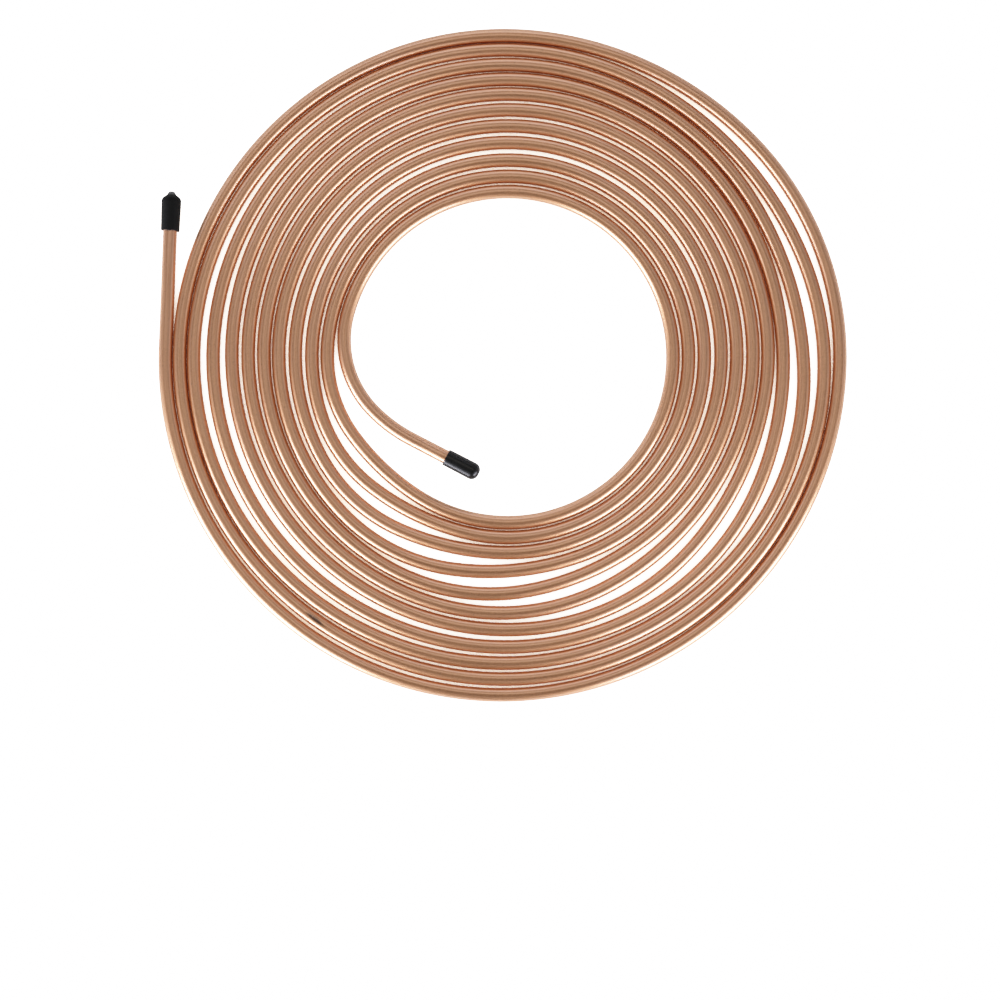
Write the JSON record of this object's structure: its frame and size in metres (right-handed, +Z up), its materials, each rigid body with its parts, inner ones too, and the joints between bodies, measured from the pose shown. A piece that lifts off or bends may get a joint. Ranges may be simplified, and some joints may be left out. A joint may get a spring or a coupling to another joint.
{
  "type": "copper tube coil",
  "caption": "Flat open coil of small-bore copper-coloured tube, wound turn inside turn in one layer, with a black push-on cap on each end.",
  "frame": {"origin": "centre of the coil's outline as seen from above, on the floor that it lies on", "axes": "+Z up out of the floor, square to the flat coil; +X and +Y to the right and to the top of the coil as seen from above, with the outer end's cap at the upper left"},
  "size_m": [0.2362, 0.2308, 0.0068],
  "materials": {
    "copper": "drawn copper or copper alloy, satin, brown-pink, with fine lines along the tube",
    "outer_cap_vinyl": "soft black vinyl, slightly matte",
    "inner_cap_vinyl": "soft black vinyl, glossy"
  },
  "bodies": {
    "root": {"copper_tube": "copper", "outer_end_cap": "outer_cap_vinyl", "inner_end_cap": "inner_cap_vinyl"}
  },
  "joints": []
}
